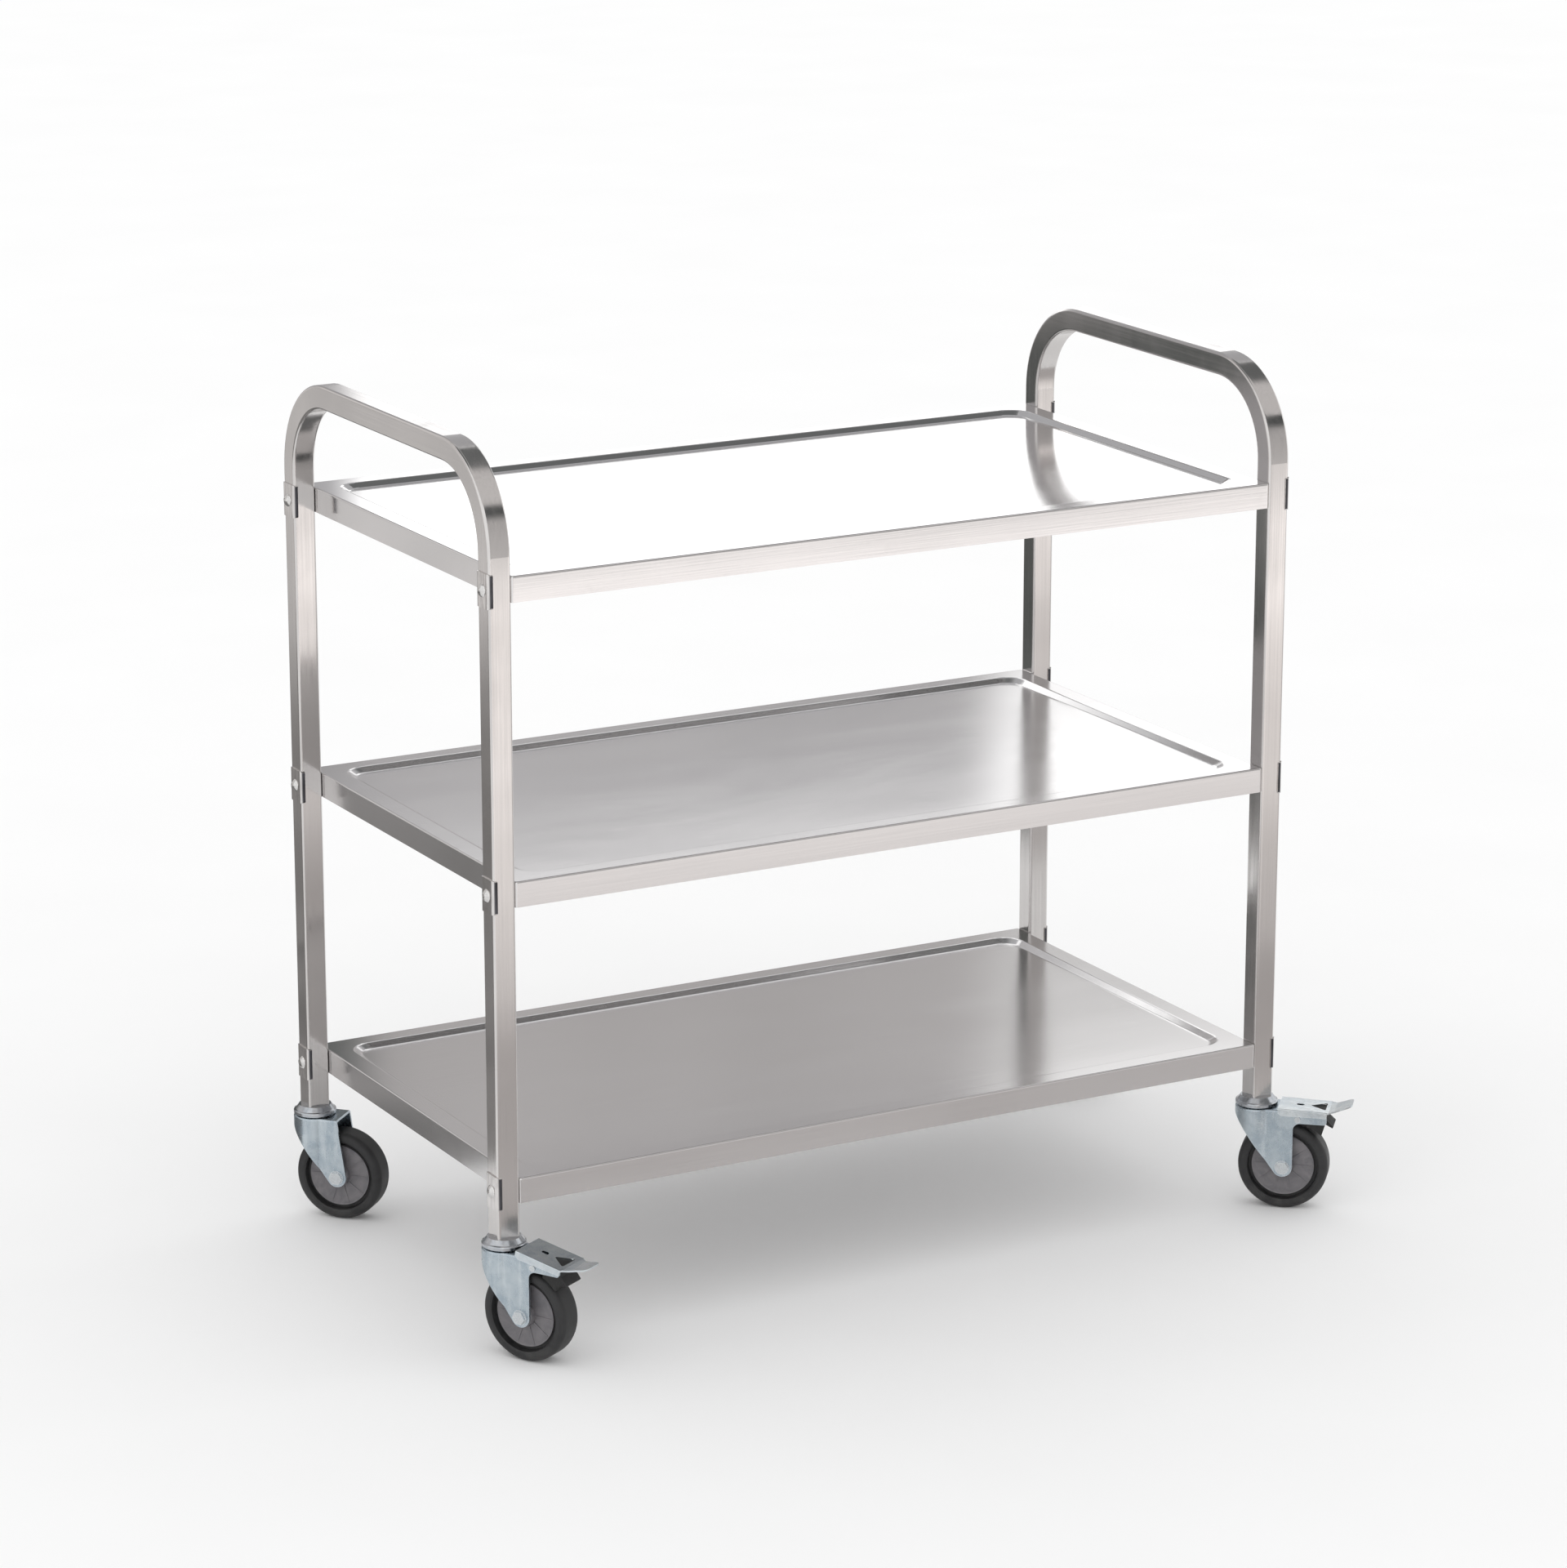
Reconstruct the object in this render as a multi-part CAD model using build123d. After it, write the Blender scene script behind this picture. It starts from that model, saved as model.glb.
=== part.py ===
from build123d import *
import math
import os

# Three-shelf service trolley, knocked down into two bent square-tube end frames that
# carry three pressed trays, on four swivel casters, two of them braked.
# X runs along the trolley, -X at its left end. Y runs across it, -Y at its front.
# Lengths are millimetres and heights are above the floor.

# ---- frame ------------------------------------------------------------------------
frame_length = 950
frame_width = 500
tube_size = 25
tube_wall = 1.2
tube_corner = 3
handle_top = 945
leg_bottom = 127
bend_radius = 92.5

# ---- shelves ----------------------------------------------------------------------
shelf_heights = {"bottom": 190, "middle": 505, "top": 820}
shelf_rim = 27
sheet = 1.0
shelf_corner = 2.5
rim_fold = 2.0
rim_lip = 10
land_width = 23
recess_depth = 5
recess_slope = 7
recess_corner = 24
recess_edge = 4
seam_place = 219.5
seam_width = 0.5
seam_depth = 0.4
stiffener_length = 780
stiffener_width = 44
stiffener_flange = 12
stiffener_depth = 14

# ---- bolted joints ----------------------------------------------------------------
bolt_radius = 3.0
bolt_clearance = 0.3
bolt_head_radius = 7.0
bolt_head_height = 4.0
nut_across_flats = 10
nut_thickness = 5
saddle_height = 36
saddle_plate = 1.5
saddle_wrap = 4.5
saddle_side = 1.3
saddle_bend = 5.0

# ---- casters ----------------------------------------------------------------------
wheel_diameter = 100
tyre_width = 31
trail = 32
fork_plate = 2.5
fork_half_width = 20
fork_edge = 2.3
crown_radius = 23.5
crown_top = 116
crown_foot = 109
crown_tail = 26
boss_radius = 11
dish_radius = 23.5
axle_across_flats = 13
axle_head = 3.4
axle_flange = 1.0
stem_radius = 6.0
stem_length = 49
ball_radius = 2.0
ball_circle = 15.5
ball_count = 12
axle_radius = 4.0
sleeve_radius = 6.0
running_gap = 0.05
core_radius = 34.5
core_edge = 10.6
groove_radius = 38.2
groove_floor = 7.5
tread_round = 7
rib_count = 10

# ---- brake ------------------------------------------------------------------------
pivot_x = 48
pivot_z = 106.5
pivot_radius = 2.5
pivot_head = 3.3
pivot_head_height = 1.4
arm_end = 80
arm_bottom = 102
arm_fillet = 8
pedal_half_width = 21.8
pedal_plate = 1.8
pedal_skirt = 1.4
pedal_ear = 1.6
pedal_root_top = 118.6
pedal_fold = 82
pedal_fold_top = 117
pedal_toe = 107
pedal_toe_top = 124.6
brake_travel = 10
shoe_half_width = 13
shoe_gap = 0.6

half_length = frame_length / 2
half_width = frame_width / 2
leg_x = half_length - tube_size / 2
leg_y = half_width - tube_size / 2
tray_length = frame_length - 2 * tube_size
axle_height = wheel_diameter / 2

# Each caster: its leg, how far it has swivelled from trailing along +X, and its pedal.
casters = {
    "front_left": (-leg_x, -leg_y, -60, "pressed"),
    "back_left": (-leg_x, leg_y, -47, None),
    "front_right": (leg_x, -leg_y, -41, "released"),
    "back_right": (leg_x, leg_y, -50, None),
}


def box_between(low, high):
    size = [b - a for a, b in zip(low, high)]
    return Pos(*low) * Box(*size, align=(Align.MIN, Align.MIN, Align.MIN))


def rod(radius, start, end, axis):
    """A round bar from start to end along one axis, through the origin of the other two."""
    direction = {"X": (1, 0, 0), "Y": (0, 1, 0), "Z": (0, 0, 1)}[axis]
    plane = Plane((0, 0, 0), z_dir=direction)
    return extrude(plane.offset(start) * Circle(radius), end - start)


def side_plate(outline, low_y, high_y):
    """A face drawn in X and Z, made solid between two Y values."""
    return extrude(Plane.XZ.offset(-high_y) * outline, high_y - low_y)


def fillet_corner(face, point, radius):
    """Rounds the corner of a flat outline that is nearest to a point."""
    corner = face.vertices().sort_by_distance(point)[0]
    return fillet(corner, radius)


# ---- end frames -------------------------------------------------------------------
def end_frame(side):
    """One square tube bent to an inverted U: two legs and the handle bar between them."""
    bar_z = handle_top - tube_size / 2
    corners = [(-leg_y, leg_bottom), (-leg_y, bar_z), (leg_y, bar_z), (leg_y, leg_bottom)]
    path = FilletPolyline(*[(side * leg_x, y, z) for y, z in corners], radius=bend_radius)
    inside = tube_size - 2 * tube_wall
    section = Plane((side * leg_x, -leg_y, leg_bottom)) * (
        RectangleRounded(tube_size, tube_size, tube_corner)
        - RectangleRounded(inside, inside, tube_corner - tube_wall)
    )
    tube = sweep(section, path=path)
    hole = rod(bolt_radius + bolt_clearance, leg_x - tube_size, leg_x + tube_size, "X")
    for y, z in joint_places():
        tube -= Pos(0, y, z) * (hole if side > 0 else hole.rotate(Axis.Z, 180))
    return tube


def joint_places():
    """Y and Z of the six bolts that hold one end frame to the three shelves."""
    return [(y, top - shelf_rim / 2) for y in (-leg_y, leg_y) for top in shelf_heights.values()]


# ---- shelves ----------------------------------------------------------------------
def shelf_plan(inset, corner):
    return RectangleRounded(tray_length - 2 * inset, frame_width - 2 * inset, corner)


def recess(inset, drop, corner):
    """The tapered hollow in a shelf, from its mouth down to its floor."""
    mouth = shelf_plan(inset, corner)
    floor = Pos(0, 0, -drop) * shelf_plan(inset + recess_slope, corner - recess_slope / 2)
    return loft([mouth, floor])


def panel_face(skin, height):
    """The largest of a shelf's flat faces that look up at one height."""
    level = skin.faces().filter_by(lambda f: abs(f.center().Z - height) < 0.01)
    return level.filter_by(lambda f: f.normal_at().Z > 0.9).sort_by(SortBy.AREA)[-1]


def shelf(top):
    """A pressed tray: recessed panel, flat land round it, and a rim folded down and in."""
    skin = extrude(shelf_plan(0, shelf_corner), -shelf_rim)
    skin = fillet(skin.faces().sort_by(Axis.Z)[-1].outer_wire().edges(), rim_fold)
    hollow = Pos(0, 0, -sheet) * extrude(shelf_plan(sheet, shelf_corner - sheet), -shelf_rim)
    hollow = fillet(hollow.faces().sort_by(Axis.Z)[-1].outer_wire().edges(), rim_fold - sheet)
    lip = shelf_plan(0, shelf_corner) - shelf_plan(rim_lip, shelf_corner)
    skin = skin - hollow + Pos(0, 0, -shelf_rim) * extrude(lip, sheet)
    skin += Pos(0, 0, -sheet) * recess(land_width - sheet / 2, recess_depth, recess_corner)
    skin -= recess(land_width, recess_depth, recess_corner)
    skin = fillet(panel_face(skin, -recess_depth).outer_wire().edges(), recess_edge)
    skin = fillet(panel_face(skin, 0).inner_wires()[0].edges(), recess_edge)
    hole = rod(bolt_radius + bolt_clearance, -half_length, half_length, "X")
    seam = Pos(0, 0, -shelf_rim / 2) * Box(2 * seam_depth, seam_width, shelf_rim)
    for y in (-1, 1):
        skin -= Pos(0, y * leg_y, -shelf_rim / 2) * hole
        for x in (-1, 1):
            skin -= Pos(x * tray_length / 2, y * seam_place, -rim_fold) * seam
    return Pos(0, 0, top) * skin


def stiffener(top):
    """A hat-section channel spot-welded along the underside of a shelf's panel."""
    wide = stiffener_width / 2
    web = wide - stiffener_flange
    turn = stiffener_depth - sheet
    outline = [(-wide, 0), (wide, 0), (wide, -sheet), (web, -sheet), (web, -stiffener_depth)]
    outline += [(-web, -stiffener_depth), (-web, -sheet), (-wide, -sheet)]
    hat = make_face(Polyline(*outline, close=True))
    hat -= Pos(0, -turn / 2) * Rectangle(2 * (web - sheet), turn)
    bar = extrude(Plane.YZ * hat, stiffener_length / 2, both=True)
    return Pos(0, 0, top - recess_depth - sheet) * bar


# ---- bolted joints ----------------------------------------------------------------
def saddle():
    """A clip round the leg's outer face that spreads the bolt's load. Its face is at X 0."""
    outside = tube_size + 2 * saddle_side
    wrap = RectangleRounded(tube_size + 2 * saddle_plate, outside, saddle_bend)
    leg = RectangleRounded(tube_size + 0.04, tube_size + 0.04, tube_corner)
    clip = extrude(Pos(-tube_size / 2, 0) * (wrap - leg), saddle_height / 2, both=True)
    keep = RectangleRounded(outside, saddle_height, tube_corner)
    clip &= extrude(Plane.YZ.offset(-saddle_wrap) * keep, saddle_wrap + saddle_plate)
    return clip - rod(bolt_radius + bolt_clearance, 0, saddle_plate, "X")


def joint_bolt():
    """A dome-head bolt whose head bears on the saddle and whose shank runs to the nut."""
    rise = bolt_head_height
    dome_radius = (bolt_head_radius**2 + rise**2) / (2 * rise)
    seat = Line((0, 0), (bolt_head_radius, 0))
    dome = RadiusArc((bolt_head_radius, 0), (0, rise), -dome_radius)
    outline = make_face([seat, dome, Line((0, rise), (0, 0))])
    head = Pos(saddle_plate, 0, 0) * revolve(Plane.XZ * outline, Axis.Z).rotate(Axis.Y, 90)
    for turn in (0, 90):
        slot = Pos(saddle_plate + rise, 0, 0) * Box(2.6, 5.2, 1.1)
        head -= slot.rotate(Axis.X, turn)
    shank_end = -(tube_size + sheet + nut_thickness + 3)
    return head + rod(bolt_radius, shank_end, saddle_plate, "X")


def joint_nut():
    """A hexagon nut welded inside the shelf's end rim."""
    start = -(tube_size + sheet + nut_thickness)
    hexagon = Plane.YZ.offset(start) * RegularPolygon(nut_across_flats / 2, 6, major_radius=False)
    return extrude(hexagon, nut_thickness) - rod(bolt_radius + running_gap, start, start + 9, "X")


def at_every_joint(piece):
    """Copies of a piece made for a right-hand leg's outer face, one for each of 12 joints."""
    made = []
    for side in (-1, 1):
        for y, z in joint_places():
            turned = piece if side > 0 else piece.rotate(Axis.Z, 180)
            made.append(Pos(side * half_length, y, z) * turned)
    return made


def leg_plugs():
    """The threaded blocks pressed into the four leg ends."""
    width = tube_size - 2 * tube_wall - 0.1
    block = extrude(RectangleRounded(width, width, tube_corner - tube_wall), 28)
    block -= extrude(Circle(stem_radius + running_gap), 28)
    return [Pos(x, y, leg_bottom + 1) * block for x, y, _, _ in casters.values()]


# ---- casters, each made with its stem on Z and its wheel trailing along +X --------
def ring(profile):
    """A solid of revolution about Z, from radius and height pairs."""
    return revolve(Plane.XZ * make_face(Polyline(*profile, close=True)), Axis.Z)


def stem():
    foot = crown_top - 11.5
    thread = rod(stem_radius, foot, foot + stem_length, "Z")
    return chamfer(thread.edges().sort_by(Axis.Z)[-1], 1.2)


def stem_nut():
    under = crown_top - fork_plate - 0.4
    bore = rod(stem_radius + running_gap, under - 10, under, "Z")
    washer = rod(12, under - 1.6, under, "Z")
    hexagon = Plane.XY.offset(under - 8.6) * RegularPolygon(9, 6, major_radius=False)
    return washer + extrude(hexagon, 7) - bore


def dish():
    """The fixed upper race: a low dished cap between the leg's end and the fork's crown."""
    bore = stem_radius + running_gap
    seat = crown_top + 2 * ball_radius + 2 * running_gap
    skirt = dish_radius - 2
    foot = crown_top + 1.1
    profile = [(bore, seat), (skirt, seat), (skirt, foot), (dish_radius - 0.7, foot)]
    profile += [(dish_radius, foot + 0.7), (dish_radius, foot + 3.4), (dish_radius - 0.6, foot + 4.4)]
    profile += [(dish_radius - 2.2, foot + 5.2), (17.8, leg_bottom), (bore, leg_bottom)]
    return ring(profile)


def bearing_balls():
    height = crown_top + ball_radius + running_gap
    ball = Pos(0, 0, height) * Sphere(ball_radius)
    return [place * ball for place in PolarLocations(ball_circle, ball_count)]


def fork_plan(radius, half, reach):
    """The fork seen from above: a round crown that runs back into two flat sides."""
    return Circle(radius) + Pos(reach / 2, 0) * Rectangle(reach, 2 * half)


def fork_side(braked):
    """The fork's side view: crown, slanted front edge and axle boss, and the brake's arm."""
    boss = Pos(trail, axle_height) * Circle(boss_radius)
    front = -crown_radius - 1
    back = trail + boss_radius if braked else trail + 1
    crown = Pos(front, crown_foot) * Rectangle(
        back - front, crown_top - crown_foot, align=(Align.MIN, Align.MIN)
    )
    body = make_hull(boss.edges() + crown.edges())
    if not braked:
        return body
    arm = [(back - 1, arm_bottom), (arm_end, arm_bottom), (arm_end, 109.4), (pivot_x, 114.6)]
    arm += [(crown_tail, crown_top - 0.4), (crown_tail, arm_bottom + 1)]
    body += make_face(Polyline(*arm, close=True))
    body = fillet_corner(body, (back, arm_bottom, 0), arm_fillet)
    return fillet_corner(body, (arm_end, arm_bottom, 0), 3)


def fork(braked):
    """A pressed steel fork: crown, round front skirt and two sides, braked ones with arms."""
    low = axle_height - boss_radius - 1
    reach = arm_end + 5
    outside = Pos(0, 0, low) * extrude(
        fork_plan(crown_radius, fork_half_width, reach), crown_top - low
    )
    rim = outside.faces().sort_by(Axis.Z)[-1].outer_wire().edges()
    outside = fillet(rim.filter_by(lambda e: e.center().X < reach - 1), fork_edge)
    inside = Pos(0, 0, low - 1) * extrude(
        fork_plan(crown_radius - fork_plate, fork_half_width - fork_plate, reach + 5),
        crown_top - fork_plate - low + 1,
    )
    profile = side_plate(fork_side(braked), -crown_radius - 1, crown_radius + 1)
    body = (outside - inside) & profile
    body -= rod(stem_radius + running_gap, crown_top - 5, crown_top + 5, "Z")
    body -= at_axle(rod(axle_radius + running_gap, -half_width, half_width, "Y"))
    if braked:
        window = fork_half_width - fork_plate
        body -= box_between((crown_tail, -window, crown_top - 20), (reach, window, crown_top + 1))
        body -= at_pivot(rod(pivot_radius + running_gap, -half_width, half_width, "Y"))
    return body


def at_axle(piece):
    return Pos(trail, 0, axle_height) * piece


def at_pivot(piece):
    return Pos(pivot_x, 0, pivot_z) * piece


def hex_bar(across_flats, low_y, high_y):
    return side_plate(RegularPolygon(across_flats / 2, 6, major_radius=False), low_y, high_y)


def axle_bolt():
    face = fork_half_width + axle_flange
    bolt = rod(axle_radius, -face, face + 8, "Y")
    bolt += hex_bar(axle_across_flats, -face - axle_head, -face)
    return at_axle(bolt + rod(8, -face, -fork_half_width, "Y"))


def axle_nut():
    face = fork_half_width + axle_flange
    nut = hex_bar(axle_across_flats, face, face + 6) + rod(8, fork_half_width, face, "Y")
    return at_axle(nut - rod(axle_radius + running_gap, fork_half_width - 1, face + 8, "Y"))


def axle_sleeve():
    reach = fork_half_width - fork_plate
    sleeve = rod(sleeve_radius, -reach, reach, "Y")
    return at_axle(sleeve - rod(axle_radius + running_gap, -reach, reach, "Y"))


def wheel_ring(profile):
    """A turned wheel part from radius and half-width pairs, mirrored to both sides."""
    both = profile + [(r, -w) for r, w in reversed(profile)]
    return at_axle(ring(both).rotate(Axis.X, 90))


def wheel_core():
    """The moulded wheel centre, with shallow radial ribs on both faces."""
    bore = sleeve_radius + running_gap
    boss = fork_half_width - fork_plate - 0.5
    core = wheel_ring(
        [(bore, boss), (10.5, boss), (11.5, boss - 1), (12, 9.4), (33, 10), (core_radius, core_edge)]
    )
    rib = box_between((12, -0.8, -10.3), (33, 0.8, 10.3)) - box_between((11, -1, -9), (34, 1, 9))
    ribs = [p * rib for p in PolarLocations(0, rib_count)]
    return core + [at_axle(r.rotate(Axis.X, 90)) for r in ribs]


def tyre():
    """The solid rubber tyre, stepped down to the wheel centre and rounded at its tread."""
    wide = tyre_width / 2
    outer = wheel_diameter / 2
    profile = [(core_radius, groove_floor), (groove_radius, groove_floor)]
    profile += [(groove_radius + 1, wide - 1.2), (groove_radius + 2.8, wide)]
    for step in range(7):
        angle = math.radians(15 * step)
        round_x = outer - tread_round * (1 - math.sin(angle))
        round_y = wide - tread_round * (1 - math.cos(angle))
        profile.append((round_x, round_y))
    return wheel_ring(profile)


# ---- brake, made with its pedal released ------------------------------------------
def pressed_down(piece):
    """Turns a released brake piece to its pressed place."""
    return piece.rotate(Axis((pivot_x, 0, pivot_z), (0, 1, 0)), brake_travel)


def pedal_under(x):
    """Height of the underside of the pedal's flat plate."""
    fall = (pedal_root_top - pedal_fold_top) / (pedal_fold - crown_tail)
    return pedal_root_top - pedal_plate - fall * (x - crown_tail)


def pedal():
    """The pedal: a plate folded down outside the arms, ears on the pivot, and a toe tip."""
    deck = pedal_half_width
    top = [(crown_tail, pedal_root_top), (pedal_fold, pedal_fold_top)]
    top += [(pedal_fold + 6, pedal_fold_top + 0.6), (pedal_toe, pedal_toe_top)]
    under = [(x, z - pedal_plate) for x, z in reversed(top)]
    plate = side_plate(make_face(Polyline(*top, *under, close=True)), -deck, deck)
    skirt = [(crown_tail, 118), (80, 116.5), (80, 110.2), (crown_tail + 4, 110.2), (crown_tail, 113)]
    for low in (-deck, deck - pedal_skirt):
        plate += side_plate(make_face(Polyline(*skirt, close=True)), low, low + pedal_skirt)
    long_edges = plate.edges().filter_by(lambda e: abs(e.center().Y) > deck - 0.01)
    plate = fillet(long_edges.sort_by(SortBy.LENGTH)[-4:].sort_by(Axis.Z)[-2:], 1.0)
    plan = Pos(crown_tail, 0) * Rectangle(
        pedal_fold - crown_tail, 2 * deck, align=(Align.MIN, Align.CENTER)
    )
    neck = [(80, -deck), (88, -16), (94, -15), (94, 15), (88, 16), (80, deck)]
    toe = make_face(Polyline(*neck, close=True))
    toe += Pos(96.5, 0) * RectangleRounded(2 * (pedal_toe - 96.5), 29, 7)
    plate &= extrude(plan + toe, 200)
    plate -= Pos(49, 0, 100) * extrude(SlotOverall(9, 5.5), 30)
    window = make_face(Polyline((60, 0), (78, -13), (78, 13), close=True))
    plate -= Pos(0, 0, 100) * extrude(fillet(window.vertices(), 1.6), 30)
    ear = [(39, pedal_under(39)), (59, pedal_under(59)), (54, 102.5), (43, 102.5)]
    inner = fork_half_width - fork_plate - 0.2
    for low in (-inner, inner - pedal_ear):
        plate += side_plate(make_face(Polyline(*ear, close=True)), low, low + pedal_ear)
    return plate - at_pivot(rod(pivot_radius + running_gap, -half_width, half_width, "Y"))


def brake_shoe():
    """The rubber block under the pedal, shaped to meet the tyre at full travel."""
    block = [(57, pedal_under(57)), (76, pedal_under(76)), (79, 106), (87, 98.6), (86, 96.8)]
    block += [(78, 101), (73, 84), (57, 96)]
    block = side_plate(make_face(Polyline(*block, close=True)), -shoe_half_width, shoe_half_width)
    pivot = Axis((pivot_x, 0, pivot_z), (0, 1, 0))
    tread = at_axle(rod(wheel_diameter / 2 + shoe_gap, -half_width, half_width, "Y"))
    return block - tread.rotate(pivot, -brake_travel)


def brake_pivot():
    """A rivet through both arms of the fork and both ears of the pedal."""
    face = fork_half_width
    end = face + pivot_head_height
    pin = rod(pivot_radius, -end, end, "Y")
    for low in (-end, face):
        pin += rod(pivot_head, low, low + pivot_head_height, "Y")
    return at_pivot(pin)


def brake_spring():
    """The leaf under the crown whose curled end snaps the pedal to one side or the other."""
    top = crown_top - fork_plate
    leaf = [(13, top), (36, top), (41, top + 1.2), (43, top + 1.2), (43, top + 0.5)]
    leaf += [(41.3, top + 0.5), (36.3, top - 0.7), (13, top - 0.7)]
    return side_plate(make_face(Polyline(*leaf, close=True)), -6, 6)


def caster(brake):
    """Every piece of one caster, by name. The brake is None, released or pressed."""
    pieces = {
        "stem": stem(),
        "stem_nut": stem_nut(),
        "dish": dish(),
        "bearing_balls": bearing_balls(),
        "fork": fork(brake is not None),
        "axle_bolt": axle_bolt(),
        "axle_nut": axle_nut(),
        "axle_sleeve": axle_sleeve(),
        "wheel_core": wheel_core(),
        "tyre": tyre(),
    }
    if brake:
        pieces["brake_pedal"] = pedal()
        pieces["brake_shoe"] = brake_shoe()
        if brake == "pressed":
            for name in ("brake_pedal", "brake_shoe"):
                pieces[name] = pressed_down(pieces[name])
        pieces["brake_pivot"] = brake_pivot()
        pieces["brake_spring"] = brake_spring()
    return pieces


# ---- assembly ---------------------------------------------------------------------
def trolley():
    """Every node of the trolley by name, each a list of separate solids."""
    nodes = {
        "end_frame_left": [end_frame(-1)],
        "end_frame_right": [end_frame(1)],
        "joint_saddles": at_every_joint(saddle()),
        "joint_bolts": at_every_joint(joint_bolt()),
        "joint_nuts": at_every_joint(joint_nut()),
        "leg_plugs": leg_plugs(),
    }
    for name, top in shelf_heights.items():
        nodes[f"shelf_{name}"] = [shelf(top)]
        nodes[f"stiffener_{name}"] = [stiffener(top)]
    kinds = {brake: caster(brake) for brake in (None, "released", "pressed")}
    for corner, (x, y, swivel, brake) in casters.items():
        place = Location((x, y, 0), (0, 0, swivel))
        for piece, made in kinds[brake].items():
            solids = made if isinstance(made, list) else [made]
            nodes[f"{corner}_{piece}"] = [s.moved(place) for s in solids]
    return nodes


def grouped(solids):
    return Compound(children=[s for shape in solids for s in shape.solids()])


def centred(nodes):
    """Moves the trolley so that the origin is on the floor, under the middle of its outline."""
    outline = grouped([s for solids in nodes.values() for s in solids]).bounding_box()
    shift = Pos(-outline.center().X, -outline.center().Y, -outline.min.Z)
    return {name: [shift * s for s in solids] for name, solids in nodes.items()}, shift


def main():
    os.makedirs("parts", exist_ok=True)
    nodes, shift = centred(trolley())
    for name, solids in nodes.items():
        export_step(grouped(solids), f"parts/{name}.step")
    print("nodes", len(nodes), "shift", shift.position)


if __name__ == "__main__":
    main()
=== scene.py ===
import math

import bpy
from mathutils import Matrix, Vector


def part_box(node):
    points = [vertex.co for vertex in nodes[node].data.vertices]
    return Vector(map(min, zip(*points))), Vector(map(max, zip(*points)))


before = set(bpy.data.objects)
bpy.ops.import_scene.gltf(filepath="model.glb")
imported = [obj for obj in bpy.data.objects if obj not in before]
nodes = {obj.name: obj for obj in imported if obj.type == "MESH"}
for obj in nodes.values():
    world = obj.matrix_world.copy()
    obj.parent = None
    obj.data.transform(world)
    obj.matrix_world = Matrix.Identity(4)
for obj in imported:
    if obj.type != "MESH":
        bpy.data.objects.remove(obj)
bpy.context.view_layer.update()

scene = bpy.context.scene


# ---- where things are -------------------------------------------------------------
def middle(*names):
    """The centre of the box round some nodes, in metres."""
    boxes = [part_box(name) for name in names]
    low = Vector([min(b[0][i] for b in boxes) for i in range(3)])
    high = Vector([max(b[1][i] for b in boxes) for i in range(3)])
    return (low + high) / 2


legs = middle("end_frame_left", "end_frame_right")


# ---- camera -----------------------------------------------------------------------
AZIMUTH = math.radians(-28.903)
ELEVATION = math.radians(15.463)
DISTANCE = 5.6721  # metres from the point that it looks at
AIM_OFFSET_X = -0.0046  # metres, from the middle of the legs
AIM_HEIGHT = 0.4873  # metres
LENS = 120.06  # mm
SENSOR = 36  # mm
VIEW_DEPTH = 100  # metres


def add_camera():
    """A long lens looking down on the trolley from its front left."""
    target = Vector((legs.x + AIM_OFFSET_X, legs.y, AIM_HEIGHT))
    back = Vector(
        (
            math.sin(AZIMUTH) * math.cos(ELEVATION),
            -math.cos(AZIMUTH) * math.cos(ELEVATION),
            math.sin(ELEVATION),
        )
    )
    data = bpy.data.cameras.new("camera")
    data.lens = LENS
    data.sensor_width = SENSOR
    data.clip_end = VIEW_DEPTH
    camera = bpy.data.objects.new("camera", data)
    camera.location = target + DISTANCE * back
    camera.rotation_euler = (-back).to_track_quat("-Z", "Y").to_euler()
    scene.collection.objects.link(camera)
    scene.camera = camera


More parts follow.
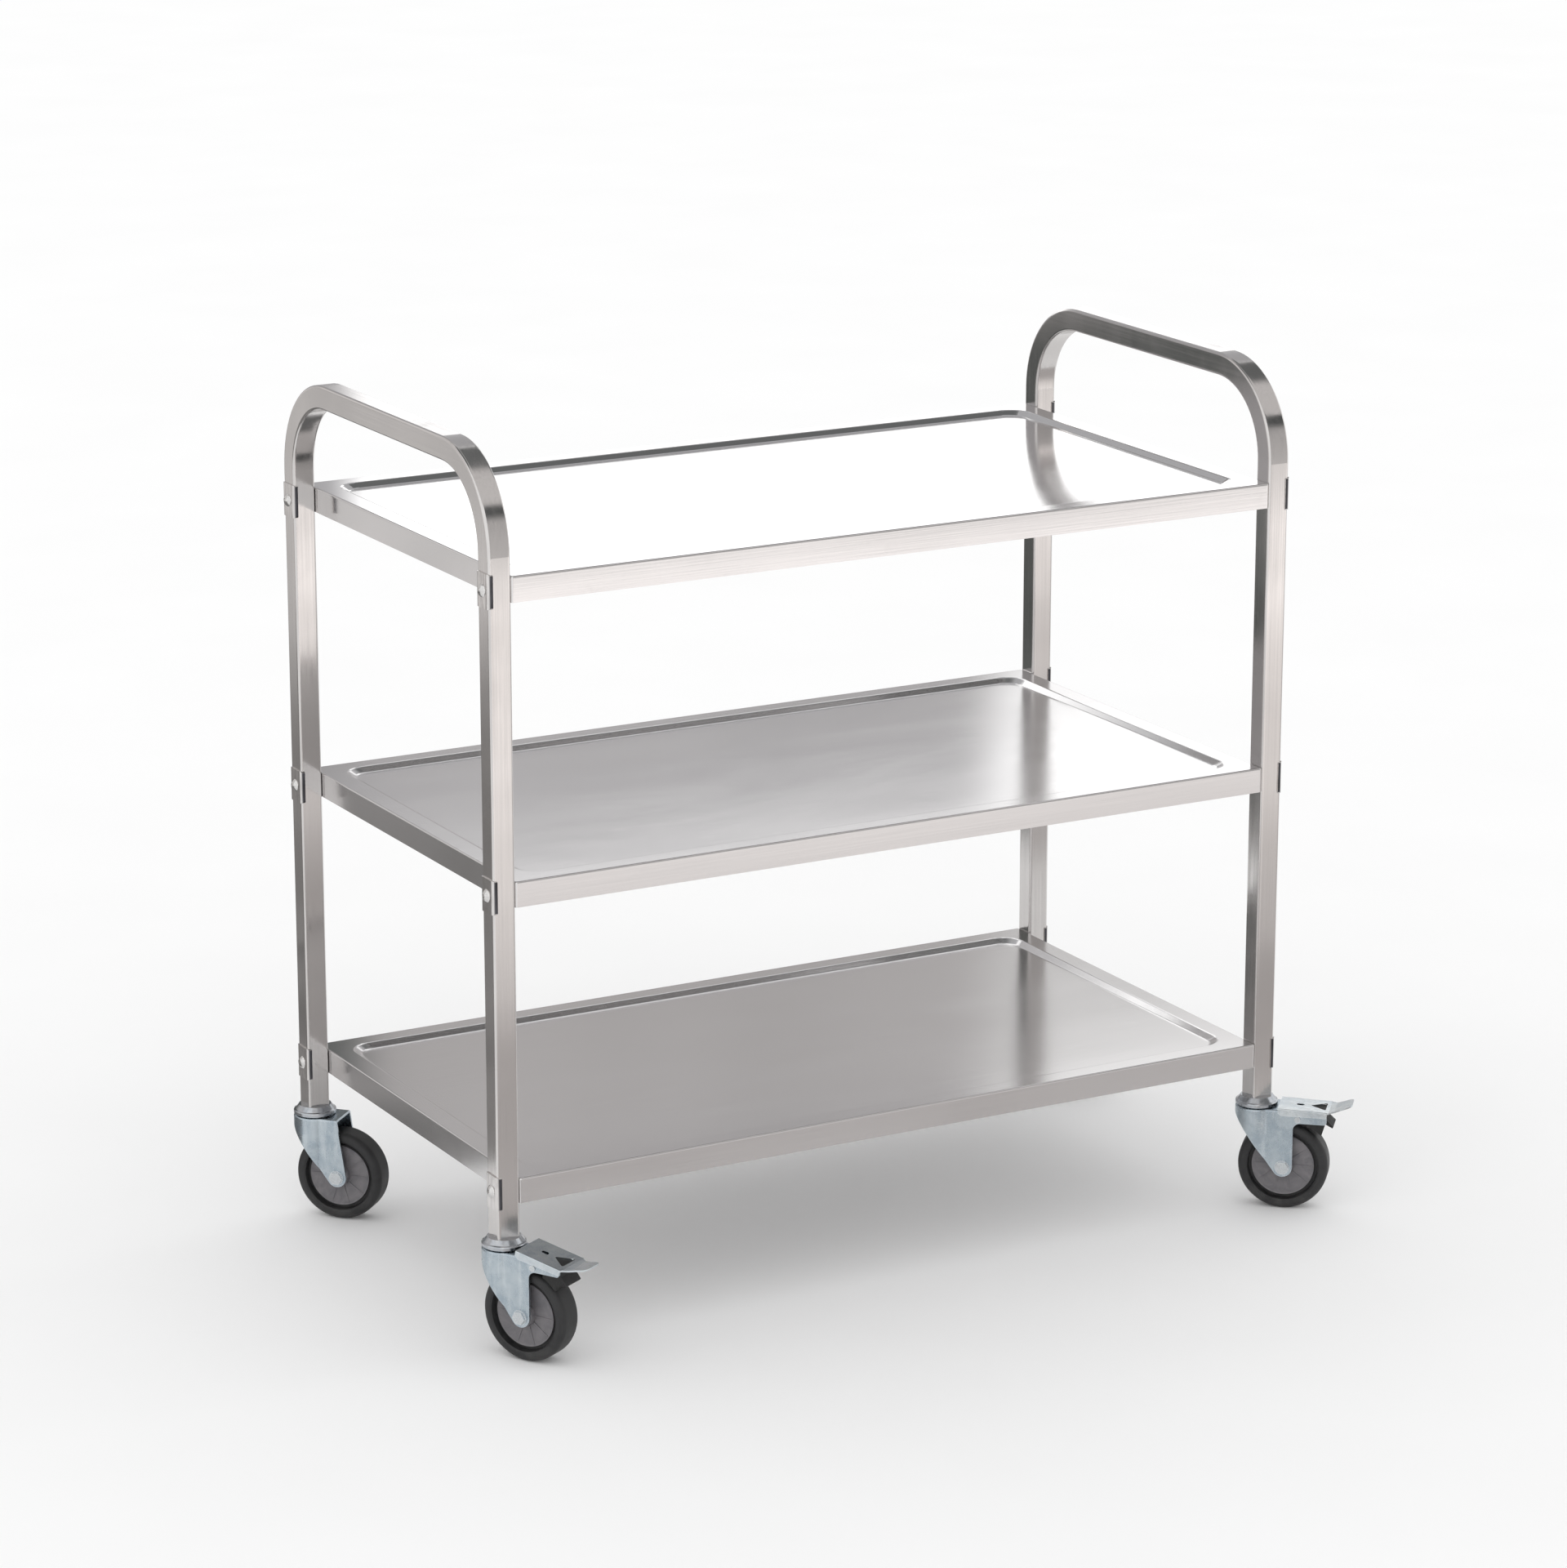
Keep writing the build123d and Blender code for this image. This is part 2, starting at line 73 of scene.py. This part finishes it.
# ---- shader helpers ---------------------------------------------------------------
class Shader:
    """One node material, with short ways to add and join its nodes."""

    def __init__(self, name, colour, metallic, roughness):
        self.material = bpy.data.materials.new(name)
        self.material.use_nodes = True
        self.tree = self.material.node_tree
        self.surface = self.tree.nodes["Principled BSDF"]
        self.surface.inputs["Base Color"].default_value = (*colour, 1)
        self.surface.inputs["Metallic"].default_value = metallic
        self.surface.inputs["Roughness"].default_value = roughness
        self.where = self.node("ShaderNodeTexCoord").outputs["Object"]

    def node(self, kind, **values):
        """A new node with some of its settings."""
        made = self.tree.nodes.new(kind)
        for key, value in values.items():
            setattr(made, key, value)
        return made

    def put(self, socket, value):
        """Joins an output to a socket, or sets the socket to a number or colour."""
        if isinstance(value, bpy.types.NodeSocket):
            self.tree.links.new(value, socket)
        elif isinstance(value, tuple) and len(value) == 3 and socket.type == "RGBA":
            socket.default_value = (*value, 1)
        else:
            socket.default_value = value

    def stretched(self, scale, turn=(0, 0, 0)):
        """The piece's own coordinates, scaled axis by axis: a small scale draws grain out."""
        mapping = self.node("ShaderNodeMapping")
        self.put(mapping.inputs["Vector"], self.where)
        mapping.inputs["Rotation"].default_value = turn
        mapping.inputs["Scale"].default_value = scale
        return mapping.outputs["Vector"]

    def noise(self, vector, scale, detail=3.0, roughness=0.55, distortion=0.0):
        """Smooth noise from 0 to 1."""
        made = self.node("ShaderNodeTexNoise")
        self.put(made.inputs["Vector"], vector)
        made.inputs["Scale"].default_value = scale
        made.inputs["Detail"].default_value = detail
        made.inputs["Roughness"].default_value = roughness
        made.inputs["Distortion"].default_value = distortion
        return made.outputs["Fac"]

    def span(self, value, low, high, to_low=0.0, to_high=1.0, smooth=False):
        """A value carried from one range to another, and held at its ends."""
        made = self.node("ShaderNodeMapRange")
        made.interpolation_type = "SMOOTHSTEP" if smooth else "LINEAR"
        self.put(made.inputs["Value"], value)
        for name, number in (
            ("From Min", low), ("From Max", high), ("To Min", to_low), ("To Max", to_high)
        ):
            made.inputs[name].default_value = number
        return made.outputs["Result"]

    def math(self, operation, *values):
        made = self.node("ShaderNodeMath", operation=operation)
        for socket, value in zip(made.inputs, values):
            self.put(socket, value)
        return made.outputs["Value"]

    def mix(self, factor, first, second, data_type="RGBA"):
        """Two colours joined by a factor."""
        made = self.node("ShaderNodeMix", data_type=data_type)
        self.put(made.inputs["Factor"], factor)
        self.put(made.inputs["A"], first)
        self.put(made.inputs["B"], second)
        return made.outputs["Result"]

    def blend(self, factor, first, second):
        """Two plain numbers joined by a factor."""
        return self.mix(factor, first, second, "FLOAT")

    def bump(self, height, strength, distance, under=None):
        """A bumped normal, laid over another one if there is one under it."""
        made = self.node("ShaderNodeBump")
        made.inputs["Strength"].default_value = strength
        made.inputs["Distance"].default_value = distance
        self.put(made.inputs["Height"], height)
        if under is not None:
            self.put(made.inputs["Normal"], under)
        return made.outputs["Normal"]

    def axis(self, name, source=None):
        """One coordinate of the piece, or of another vector."""
        split = self.node("ShaderNodeSeparateXYZ")
        self.put(split.inputs["Vector"], self.where if source is None else source)
        return split.outputs[name]

    def facing(self):
        """The direction that the surface itself faces."""
        return self.node("ShaderNodeNewGeometry").outputs["Normal"]

    def near_edge(self, radius, flat=0.99, turned=0.85):
        """1 close to a sharp edge and 0 away from it.

        flat and turned are cosines between the surface's own normal and a bevelled one.
        """
        bevel = self.node("ShaderNodeBevel", samples=4)
        bevel.inputs["Radius"].default_value = radius
        dot = self.node("ShaderNodeVectorMath", operation="DOT_PRODUCT")
        self.put(dot.inputs[0], bevel.outputs["Normal"])
        self.put(dot.inputs[1], self.facing())
        return self.span(dot.outputs["Value"], flat, turned)


# ---- metals -----------------------------------------------------------------------
EDGE_GAIN = 1.25  # how much brighter a rubbed edge is
BAR_BAND = (0.86, 0.93)  # metres; the tube's grain turns from upright to level here


def rubbed(colour):
    """The paler colour of an edge that is rubbed bright."""
    return tuple(min(1.0, EDGE_GAIN * c) for c in colour)


def tube_steel():
    """Polished square tube: fine draw lines along it, faint bands and hand smears."""
    s = Shader("polished_tube", (0.66, 0.64, 0.63), 1.0, 0.15)
    up = s.noise(s.stretched((1, 1, 0.012)), 420, 4)
    across = s.noise(s.stretched((1, 0.012, 1)), 420, 4)
    bar = s.span(s.axis("Z"), *BAR_BAND, smooth=True)
    lines = s.blend(bar, up, across)
    smears = s.noise(s.stretched((9, 9, 4)), 1.0, 4, 0.6, 0.6)
    bands = s.noise(s.stretched((2, 2, 7)), 1.0, 2)
    tint = s.mix(s.span(bands, 0.35, 0.65), (0.60, 0.58, 0.57), (0.72, 0.70, 0.69))
    tint = s.mix(s.span(lines, 0.35, 0.7, 0.0, 0.14), tint, (0.42, 0.41, 0.41))
    s.put(s.surface.inputs["Base Color"], tint)
    rough = s.span(smears, 0.35, 0.7, 0.09, 0.19)
    rough = s.math("ADD", rough, s.span(lines, 0.3, 0.7, -0.02, 0.05))
    s.put(s.surface.inputs["Roughness"], rough)
    waves = s.noise(s.stretched((7, 7, 2.2)), 1.0, 1)
    wavy = s.bump(waves, 0.25, 0.006)
    s.put(s.surface.inputs["Normal"], s.bump(lines, 0.07, 0.0004, wavy))
    return s.material


def tray_steel(name, low, high):
    """Polished sheet: rolling grain along the shelf, slight waves and wiping marks."""
    s = Shader(name, (0.72, 0.71, 0.71), 1.0, low)
    grain = s.noise(s.stretched((0.012, 1, 1)), 520, 4)
    wipes = s.noise(s.stretched((1.6, 5.5, 5.5), (0, 0, 0.35)), 1.6, 5, 0.62, 0.9)
    spots = s.noise(s.stretched((1, 1, 1)), 46, 2)
    tint = s.mix(s.span(grain, 0.35, 0.7, 0.0, 0.15), (0.74, 0.73, 0.73), (0.56, 0.55, 0.56))
    s.put(s.surface.inputs["Base Color"], tint)
    rough = s.span(wipes, 0.3, 0.75, low, high)
    rough = s.math("ADD", rough, s.span(spots, 0.62, 0.75, 0.0, 0.02))
    s.put(s.surface.inputs["Roughness"], rough)
    waves = s.noise(s.stretched((1.5, 3.2, 1.5)), 1.4, 1)
    wavy = s.bump(waves, 0.2, 0.006)
    s.put(s.surface.inputs["Normal"], s.bump(grain, 0.05, 0.0003, wavy))
    return s.material


def clip_steel():
    """The saddle clips: bright on the face the bolt bears on, dark and rougher on the folded
    flanges. The dark there is painted shade and painted dark reflection for the gap beside the leg.
    """
    s = Shader("clip_steel", (0.66, 0.65, 0.64), 1.0, 0.2)
    turned = s.math("ABSOLUTE", s.axis("Y", s.facing()))
    flange = s.span(turned, 0.75, 0.95, smooth=True)
    marks = s.noise(s.stretched((1, 1, 0.2)), 260, 4)
    face = s.mix(s.span(marks, 0.35, 0.7), (0.74, 0.72, 0.71), (0.56, 0.54, 0.53))
    # painted shade: the near-black flange colour stands in for the shadowed gap and its dark
    # reflection
    flange_painted_shade = s.mix(s.span(marks, 0.35, 0.7), (0.10, 0.10, 0.11), (0.05, 0.05, 0.055))
    s.put(s.surface.inputs["Base Color"], s.mix(flange, face, flange_painted_shade))
    s.put(s.surface.inputs["Roughness"], s.blend(flange, s.span(marks, 0.3, 0.7, 0.12, 0.24), 0.42))
    s.put(s.surface.inputs["Normal"], s.bump(marks, 0.12, 0.0003))
    return s.material


def fastener_steel(name, colour, low, high):
    """Small turned and pressed steel pieces, with handling marks and rubbed edges."""
    s = Shader(name, colour, 1.0, low)
    marks = s.noise(s.where, 900, 4)
    patches = s.noise(s.where, 130, 3)
    dark = tuple(0.72 * c for c in colour)
    tint = s.mix(s.span(marks, 0.35, 0.7, 0.0, 0.8), colour, dark)
    s.put(s.surface.inputs["Base Color"], s.mix(s.near_edge(0.0006), tint, rubbed(colour)))
    s.put(s.surface.inputs["Roughness"], s.span(patches, 0.3, 0.7, low, high))
    s.put(s.surface.inputs["Normal"], s.bump(marks, 0.15, 0.0002))
    return s.material


def zinc_plate(name, colour, low, high):
    """Bright zinc plate on pressed steel: cool mottling, press marks and pale edges."""
    s = Shader(name, colour, 1.0, low)
    clouds = s.noise(s.where, 55, 4, 0.6, 0.4)
    fine = s.noise(s.where, 620, 3)
    pulled = s.noise(s.stretched((1, 1, 0.12)), 170, 3)
    dark = (0.74 * colour[0], 0.78 * colour[1], 0.82 * colour[2])
    tint = s.mix(s.span(clouds, 0.35, 0.68), colour, dark)
    tint = s.mix(s.span(pulled, 0.5, 0.8, 0.0, 0.35), tint, (0.80, 0.84, 0.86))
    s.put(s.surface.inputs["Base Color"], s.mix(s.near_edge(0.0009), tint, rubbed(colour)))
    rough = s.math("ADD", s.span(clouds, 0.3, 0.7, low, high), s.span(fine, 0.3, 0.7, -0.03, 0.05))
    s.put(s.surface.inputs["Roughness"], rough)
    soft = s.bump(clouds, 0.25, 0.0008)
    s.put(s.surface.inputs["Normal"], s.bump(fine, 0.12, 0.0002, soft))
    return s.material


# ---- rubber and plastic -----------------------------------------------------------
DUST_HEIGHT = 0.035  # metres; floor dust on a tyre fades out at this height


def tyre_rubber():
    """Matt grey-black rubber with mould grain, rubbed patches and a little floor dust."""
    s = Shader("tyre_rubber", (0.018, 0.018, 0.019), 0.0, 0.6)
    grain = s.noise(s.where, 1500, 3)
    worn = s.noise(s.where, 48, 4, 0.6, 0.5)
    low = s.span(s.axis("Z"), 0.0, DUST_HEIGHT, 1.0, 0.0, smooth=True)
    tint = s.mix(s.span(worn, 0.35, 0.7), (0.013, 0.013, 0.014), (0.030, 0.030, 0.031))
    dusty = s.math("MULTIPLY", low, s.span(worn, 0.4, 0.7, 0.05, 0.5))
    s.put(s.surface.inputs["Base Color"], s.mix(dusty, tint, (0.075, 0.072, 0.068)))
    s.put(s.surface.inputs["Roughness"], s.span(worn, 0.3, 0.7, 0.42, 0.66))
    s.surface.inputs["Specular IOR Level"].default_value = 0.45
    s.put(s.surface.inputs["Normal"], s.bump(grain, 0.3, 0.0003))
    return s.material


def hub_plastic():
    """Grey moulded plastic with a fine spark-eroded grain and faint flow clouds."""
    s = Shader("hub_plastic", (0.135, 0.13, 0.14), 0.0, 0.5)
    grain = s.noise(s.where, 1900, 2)
    flow = s.noise(s.where, 60, 3, 0.6, 1.2)
    tint = s.mix(s.span(flow, 0.35, 0.7), (0.135, 0.130, 0.140), (0.195, 0.184, 0.192))
    s.put(s.surface.inputs["Base Color"], tint)
    s.put(s.surface.inputs["Roughness"], s.span(flow, 0.3, 0.7, 0.40, 0.58))
    s.put(s.surface.inputs["Normal"], s.bump(grain, 0.25, 0.0002))
    return s.material


def shoe_rubber():
    """Black brake rubber, scuffed where it meets the tyre."""
    s = Shader("shoe_rubber", (0.012, 0.012, 0.012), 0.0, 0.6)
    grain = s.noise(s.where, 1100, 3)
    scuffs = s.noise(s.stretched((1, 1, 0.3)), 240, 3)
    tint = s.mix(s.span(scuffs, 0.5, 0.75), (0.010, 0.010, 0.010), (0.035, 0.034, 0.033))
    s.put(s.surface.inputs["Base Color"], tint)
    s.put(s.surface.inputs["Roughness"], s.span(scuffs, 0.3, 0.7, 0.5, 0.75))
    s.put(s.surface.inputs["Normal"], s.bump(grain, 0.3, 0.0003))
    return s.material


def dress():
    """Gives every node its material by what the node's name says it is."""
    tube = tube_steel()
    tray = tray_steel("polished_sheet", 0.10, 0.14)
    satin = tray_steel("satin_sheet", 0.17, 0.23)
    zinc = zinc_plate("zinc_fork", (0.50, 0.56, 0.60), 0.18, 0.32)
    bright = zinc_plate("zinc_pedal", (0.66, 0.70, 0.72), 0.12, 0.24)
    race = zinc_plate("zinc_race", (0.52, 0.53, 0.55), 0.14, 0.26)
    screw = fastener_steel("screw_steel", (0.74, 0.73, 0.72), 0.10, 0.22)
    bolt = fastener_steel("zinc_bolt", (0.66, 0.69, 0.71), 0.16, 0.30)
    plain = fastener_steel("plain_steel", (0.50, 0.50, 0.51), 0.24, 0.40)
    spring = fastener_steel("spring_steel", (0.26, 0.27, 0.30), 0.28, 0.42)
    looks = (
        (("end_frame_left", "end_frame_right"), tube),
        (("shelf_top",), tray),
        (("shelf_bottom", "shelf_middle"), satin),
        (("stiffener_bottom", "stiffener_middle", "stiffener_top"), satin),
        (("joint_saddles",), clip_steel()),
        (("joint_bolts", "_bearing_balls"), screw),
        (("joint_nuts", "leg_plugs", "_axle_sleeve"), plain),
        (("_tyre",), tyre_rubber()),
        (("_wheel_core",), hub_plastic()),
        (("_brake_shoe",), shoe_rubber()),
        (("_brake_spring",), spring),
        (("_brake_pedal",), bright),
        (("_dish",), race),
        (("_fork",), zinc),
        (("_axle_bolt", "_axle_nut", "_stem", "_stem_nut", "_brake_pivot"), bolt),
    )
    for name, obj in nodes.items():
        look = next(made for ends, made in looks if name.endswith(ends))
        obj.data.materials.clear()
        obj.data.materials.append(look)


# ---- studio -----------------------------------------------------------------------
# All in metres. Polished steel shows mostly what stands round it, so cards that only
# its reflections see give the trays and tubes their pale, grey and dark parts.
FLOOR_SIZE = 60
CARD_LIFT = 0.002  # a floor card above the floor
BACK_Y, BACK_REACH, BACK_TOP = 1.2, 3, 2.6
DARK_Y, DARK_TOP = -2.6, 4.5
ROOF_HEIGHT = 3
WORLD_STRENGTH = 1.06


def upright(x_low, x_high, y, z_low, z_high):
    """The corners of an upright card that faces along y."""
    return [(x_low, y, z_low), (x_high, y, z_low), (x_high, y, z_high), (x_low, y, z_high)]


def level(x_low, x_high, y_low, y_high, z):
    """The corners of a level card."""
    return [(x_low, y_low, z), (x_high, y_low, z), (x_high, y_high, z), (x_low, y_high, z)]


def add_floor():
    """A plain pale floor that doesn't mirror the cards."""
    bpy.ops.mesh.primitive_plane_add(size=FLOOR_SIZE, location=(0, 0, 0))
    floor = bpy.context.object
    floor.name = "floor"
    s = Shader("pale_floor", (0.93, 0.93, 0.93), 0.0, 0.9)
    s.surface.inputs["Specular IOR Level"].default_value = 0
    soft = s.noise(s.where, 3, 2)
    s.put(s.surface.inputs["Base Color"], s.mix(soft, (0.92, 0.92, 0.92), (0.95, 0.95, 0.95)))
    floor.data.materials.append(s.material)


def add_card(name, corners, paint):
    """A light card that only glossy rays see. Its paint is laid out in world metres."""
    mesh = bpy.data.meshes.new(name)
    mesh.from_pydata(corners, [], [(0, 1, 2, 3)])
    card = bpy.data.objects.new(name, mesh)
    scene.collection.objects.link(card)
    s = Shader(name, (0, 0, 0), 0.0, 1.0)
    s.surface.inputs["Specular IOR Level"].default_value = 0
    s.put(s.surface.inputs["Emission Color"], paint(s))
    s.surface.inputs["Emission Strength"].default_value = 1.0
    mesh.materials.append(s.material)
    for kind in ("camera", "diffuse", "shadow", "transmission", "volume_scatter"):
        setattr(card, "visible_" + kind, False)


def back_paint(s):
    """White where the top tray sees it, grey where the others do, darker at the left.

    From the camera the top tray meets the card 1.06 to 1.19 m up, the middle one 0.81 to
    0.97 m up and the bottom one 0.56 to 0.76 m up.
    """
    high = s.span(s.axis("Z"), 0.985, 1.045, smooth=True)
    right = s.span(s.axis("X"), 0.88, 1.0, smooth=True)
    left = s.span(s.axis("X"), 0.02, -0.06, smooth=True)
    far_left = s.span(s.axis("X"), -0.55, -0.75, smooth=True)
    upper = s.span(s.axis("Z"), 1.24, 1.34, smooth=True)
    shade = s.noise(s.stretched((2.5, 1, 0.6)), 1, 2)
    raised = s.span(s.axis("Z"), 0.72, 0.84)
    grey = s.mix(shade, (0.42, 0.405, 0.40), (0.54, 0.52, 0.515))
    grey = s.mix(raised, grey, s.mix(shade, (0.40, 0.395, 0.405), (0.52, 0.51, 0.52)))
    pale = s.mix(raised, (0.68, 0.67, 0.665), (1.5, 1.5, 1.5))
    tone = s.mix(right, grey, pale)
    tone = s.mix(high, tone, (1.7, 1.7, 1.7))
    tone = s.mix(upper, tone, (0.50, 0.50, 0.51))
    gloom = s.mix(s.noise(s.stretched((4, 1, 4)), 1, 2), (0.05, 0.06, 0.058), (0.17, 0.175, 0.17))
    gloom = s.mix(s.span(s.axis("Z"), 0.66, 0.80, smooth=True), gloom, grey)
    tone = s.mix(left, tone, gloom)
    patches = s.span(s.noise(s.stretched((5, 1, 3)), 1, 3), 0.4, 0.6)
    middle_end = s.mix(patches, (0.20, 0.195, 0.19), (0.34, 0.33, 0.325))
    top_end = s.mix(patches, (0.56, 0.55, 0.54), (0.90, 0.87, 0.86))
    rise = s.span(s.axis("Z"), 0.26, 0.44, smooth=True)
    return s.mix(far_left, tone, s.mix(rise, middle_end, top_end))


def left_floor_paint(s):
    """Uneven dark grey on the floor behind and left of the trolley."""
    streaks = s.noise(s.stretched((3.0, 1.6, 1)), 1.4, 3, 0.6, 0.5)
    return s.mix(s.span(streaks, 0.38, 0.62), (0.17, 0.167, 0.165), (0.36, 0.35, 0.345))


def front_floor_paint(s):
    """Warm pale grey on the floor in front, darker close to the trolley."""
    away = s.span(s.axis("Y"), -1.0, -2.6)
    streaks = s.noise(s.stretched((2.2, 1.0, 1)), 1.6, 3, 0.6, 0.4)
    near = s.mix(streaks, (0.42, 0.40, 0.392), (0.64, 0.61, 0.60))
    far = s.mix(streaks, (1.30, 1.24, 1.21), (1.60, 1.54, 1.51))
    return s.mix(away, near, far)


def front_dark_paint(s):
    """Cloudy grey, and black high up."""
    clouds = s.noise(s.stretched((1.2, 1, 0.8)), 1, 2)
    grey = s.mix(clouds, (0.44, 0.43, 0.425), (0.66, 0.64, 0.63))
    high = s.span(s.axis("Z"), 1.95, 2.5, smooth=True)
    return s.mix(high, grey, (0.08, 0.085, 0.085))


def roof_paint(s):
    """A dark ceiling with one pale strip, and paler towards the front."""
    strip = s.span(s.math("ABSOLUTE", s.axis("X")), 0.25, 0.45, 1.0, 0.0, smooth=True)
    tone = s.mix(strip, (0.16, 0.165, 0.165), (0.45, 0.45, 0.45))
    forward = s.span(s.axis("Y"), 0.05, -0.35, smooth=True)
    return s.mix(forward, tone, (0.72, 0.70, 0.69))


def add_light():
    """Soft white light from all round, and the cards."""
    world = bpy.data.worlds.new("studio")
    scene.world = world
    world.use_nodes = True
    background = world.node_tree.nodes["Background"]
    background.inputs["Color"].default_value = (1, 1, 1, 1)
    background.inputs["Strength"].default_value = WORLD_STRENGTH
    add_card("back_card", upright(-BACK_REACH, BACK_REACH, BACK_Y, 0, BACK_TOP), back_paint)
    corners = ((-3, 0.32), (-0.6, 0.32), (-0.3, BACK_Y), (-3, BACK_Y))
    add_card("left_floor_card", [(x, y, CARD_LIFT) for x, y in corners], left_floor_paint)
    add_card("front_floor_card", level(-0.9, 5, -4.5, -0.5, CARD_LIFT), front_floor_paint)
    add_card("front_dark_card", upright(-0.2, 4.5, DARK_Y, 0.2, DARK_TOP), front_dark_paint)
    add_card("roof_card", level(-2, 3, -2.4, 1.4, ROOF_HEIGHT), roof_paint)
    scene.view_settings.view_transform = "Standard"


add_camera()
dress()
add_floor()
add_light()
